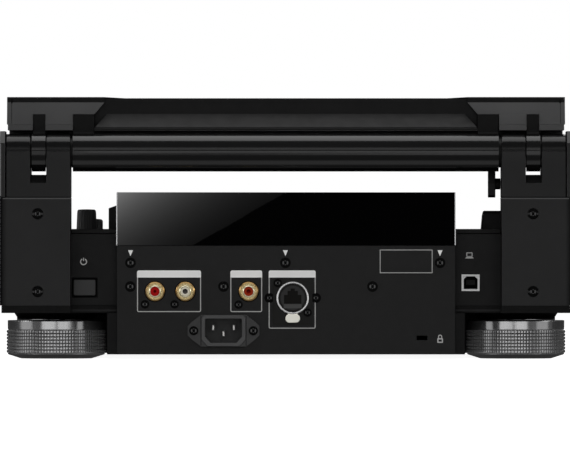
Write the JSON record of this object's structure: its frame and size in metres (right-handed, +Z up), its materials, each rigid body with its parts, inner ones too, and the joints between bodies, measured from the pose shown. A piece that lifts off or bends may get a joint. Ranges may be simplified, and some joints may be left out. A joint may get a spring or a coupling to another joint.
{
  "type": "tabletop dj disc player",
  "caption": "Tabletop disc player for mixing music, with a large touch wheel, slot-loading drive, fold-out touch display on a barrel hinge between two towers, and knurled feet.",
  "frame": {"origin": "middle of the footprint, on the surface the feet stand on", "axes": "+X to the operator's right, +Y from the operator towards the connectors, +Z up"},
  "size_m": [0.3764, 0.434, 0.1725],
  "materials": {
    "painted_casting": "fine satin black paint",
    "panel_steel": "satin black coated sheet",
    "gloss_black": "polished black",
    "shell_plastic": "fine texture",
    "machined_metal": "turned and knurled",
    "connector_plastic": "moulded black",
    "gold_plate": "gold plated",
    "port_metal": "formed sheet",
    "screw_black": "black oxide",
    "latch_cream": "moulded",
    "button_plastic": "moulded",
    "knob_rubber": "soft touch",
    "jog_metal": "spun",
    "jog_rim_plastic": "metallic coated",
    "screen_glass": "polished glass face over a dark panel",
    "panel_module": "sheet backed",
    "board_green": "circuit board",
    "drive_plastic": "moulded"
  },
  "bodies": {
    "console": {"base_plate": "painted_casting", "bottom_chassis": "panel_steel", "case_screws": "screw_black", "coax_jacks": "gold_plate", "data_port": "port_metal", "display_hump": "shell_plastic", "drive_chassis": "port_metal", "foot_necks": "shell_plastic", "front_bezel": "shell_plastic", "gloss_panel": "gloss_black", "hinge_pins": "port_metal", "jog_bearing": "port_metal", "jog_display": "screen_glass", "main_board": "board_green", "mains_inlet": "connector_plastic", "needle_pad": "gloss_black", "network_connector": "connector_plastic", "panel_board": "board_green", "port_housing": "shell_plastic", "power_supply": "board_green", "rear_cover_left": "panel_steel", "rear_cover_right": "panel_steel", "rear_panel": "panel_steel", "side_plate_left": "painted_casting", "side_plate_right": "painted_casting", "tempo_rail": "connector_plastic", "top_deck": "shell_plastic", "tower_lower_left": "painted_casting", "tower_lower_right": "painted_casting", "tower_upper_left": "painted_casting", "tower_upper_right": "painted_casting"},
    "display": {"display_cover": "shell_plastic", "display_bezel": "gloss_black", "touch_glass": "screen_glass", "lcd_panel": "panel_module", "hinge_barrel": "painted_casting", "hinge_arms": "painted_casting"},
    "jog_wheel": {"jog_plate": "jog_metal", "jog_rim": "jog_rim_plastic"},
    "foot_rear_right_part": {"foot_rear_right": "machined_metal"},
    "foot_rear_left_part": {"foot_rear_left": "machined_metal"},
    "foot_front_right_part": {"foot_front_right": "machined_metal"},
    "foot_front_left_part": {"foot_front_left": "machined_metal"},
    "power_button_part": {"power_button": "button_plastic"},
    "network_latch_part": {"network_latch": "latch_cream"},
    "lock_lever_part": {"lock_lever": "shell_plastic"},
    "play_button_part": {"play_button": "button_plastic"},
    "cue_button_part": {"cue_button": "button_plastic"},
    "track_back_button_part": {"track_back_button": "button_plastic"},
    "track_next_button_part": {"track_next_button": "button_plastic"},
    "loop_in_button_part": {"loop_in_button": "button_plastic"},
    "loop_out_button_part": {"loop_out_button": "button_plastic"},
    "tempo_knob_part": {"tempo_knob": "knob_rubber"},
    "speed_knob_part": {"speed_knob": "knob_rubber"},
    "selector_knob_part": {"selector_knob": "knob_rubber"},
    "port_flap_part": {"port_flap": "shell_plastic"},
    "eject_button_part": {"eject_button": "button_plastic"},
    "feed_roller_part": {"feed_roller": "knob_rubber"},
    "spindle_hub_part": {"spindle_hub": "drive_plastic"},
    "optical_sled_part": {"optical_sled": "drive_plastic"}
  },
  "joints": [
    {"name": "display_hinge", "type": "hinge", "parent": "console", "child": "display", "pos_m": [0, 0.20435, 0.1361], "axis": [-1, 0, 0], "range_deg": [0, 97]},
    {"name": "jog_spin", "type": "hinge", "parent": "console", "child": "jog_wheel", "pos_m": [0, -0.05196, 0.07265], "axis": [0, -0.0523, 0.9986], "continuous": true},
    {"name": "foot_rear_right_turn", "type": "hinge", "parent": "console", "child": "foot_rear_right_part", "pos_m": [0.1521, 0.145, 0.012], "axis": [0, 0, 1], "continuous": true},
    {"name": "foot_rear_left_turn", "type": "hinge", "parent": "console", "child": "foot_rear_left_part", "pos_m": [-0.1521, 0.145, 0.012], "axis": [0, 0, 1], "continuous": true},
    {"name": "foot_front_right_turn", "type": "hinge", "parent": "console", "child": "foot_front_right_part", "pos_m": [0.1521, -0.165, 0.012], "axis": [0, 0, 1], "continuous": true},
    {"name": "foot_front_left_turn", "type": "hinge", "parent": "console", "child": "foot_front_left_part", "pos_m": [-0.1521, -0.165, 0.012], "axis": [0, 0, 1], "continuous": true},
    {"name": "power_press", "type": "slide", "parent": "console", "child": "power_button_part", "axis": [0, -1, 0], "range_m": [0, 0.0025], "stiffness_N_per_m": 400},
    {"name": "latch_press", "type": "slide", "parent": "console", "child": "network_latch_part", "axis": [0, 0, -1], "range_m": [0, 0.001], "stiffness_N_per_m": 600},
    {"name": "lock_turn", "type": "hinge", "parent": "console", "child": "lock_lever_part", "pos_m": [-0.135, 0.18, 0.1154], "axis": [1, 0, 0], "range_deg": [-35, 0]},
    {"name": "play_press", "type": "slide", "parent": "console", "child": "play_button_part", "axis": [0, 0.0523, -0.9986], "range_m": [0, 0.0015], "stiffness_N_per_m": 500},
    {"name": "cue_press", "type": "slide", "parent": "console", "child": "cue_button_part", "axis": [0, 0.0523, -0.9986], "range_m": [0, 0.0015], "stiffness_N_per_m": 500},
    {"name": "track_back_press", "type": "slide", "parent": "console", "child": "track_back_button_part", "axis": [0, 0.0523, -0.9986], "range_m": [0, 0.0015], "stiffness_N_per_m": 500},
    {"name": "track_next_press", "type": "slide", "parent": "console", "child": "track_next_button_part", "axis": [0, 0.0523, -0.9986], "range_m": [0, 0.0015], "stiffness_N_per_m": 500},
    {"name": "loop_in_press", "type": "slide", "parent": "console", "child": "loop_in_button_part", "axis": [0, 0.0523, -0.9986], "range_m": [0, 0.0015], "stiffness_N_per_m": 500},
    {"name": "loop_out_press", "type": "slide", "parent": "console", "child": "loop_out_button_part", "axis": [0, 0.0523, -0.9986], "range_m": [0, 0.0015], "stiffness_N_per_m": 500},
    {"name": "tempo_slide", "type": "slide", "parent": "console", "child": "tempo_knob_part", "axis": [0, 0.9986, 0.0523], "range_m": [-0.05, 0.05]},
    {"name": "speed_turn", "type": "hinge", "parent": "console", "child": "speed_knob_part", "pos_m": [0.1321, 0.13998, 0.08271], "axis": [0, -0.0523, 0.9986], "range_deg": [-140, 140]},
    {"name": "selector_turn", "type": "hinge", "parent": "console", "child": "selector_knob_part", "pos_m": [0.1304, 0.09714, 0.08047], "axis": [0, -0.0523, 0.9986], "continuous": true},
    {"name": "flap_open", "type": "hinge", "parent": "console", "child": "port_flap_part", "pos_m": [-0.15, 0.13817, 0.09619], "axis": [-1, 0, 0], "range_deg": [0, 95]},
    {"name": "eject_press", "type": "slide", "parent": "console", "child": "eject_button_part", "axis": [0, 1, 0], "range_m": [0, 0.0015], "stiffness_N_per_m": 500},
    {"name": "roller_spin", "type": "hinge", "parent": "console", "child": "feed_roller_part", "pos_m": [0, -0.198, 0.041], "axis": [1, 0, 0], "continuous": true},
    {"name": "spindle_spin", "type": "hinge", "parent": "console", "child": "spindle_hub_part", "pos_m": [0, -0.145, 0.04], "axis": [0, 0, 1], "continuous": true},
    {"name": "sled_travel", "type": "slide", "parent": "console", "child": "optical_sled_part", "axis": [0, 1, 0], "range_m": [0, 0.024]}
  ]
}
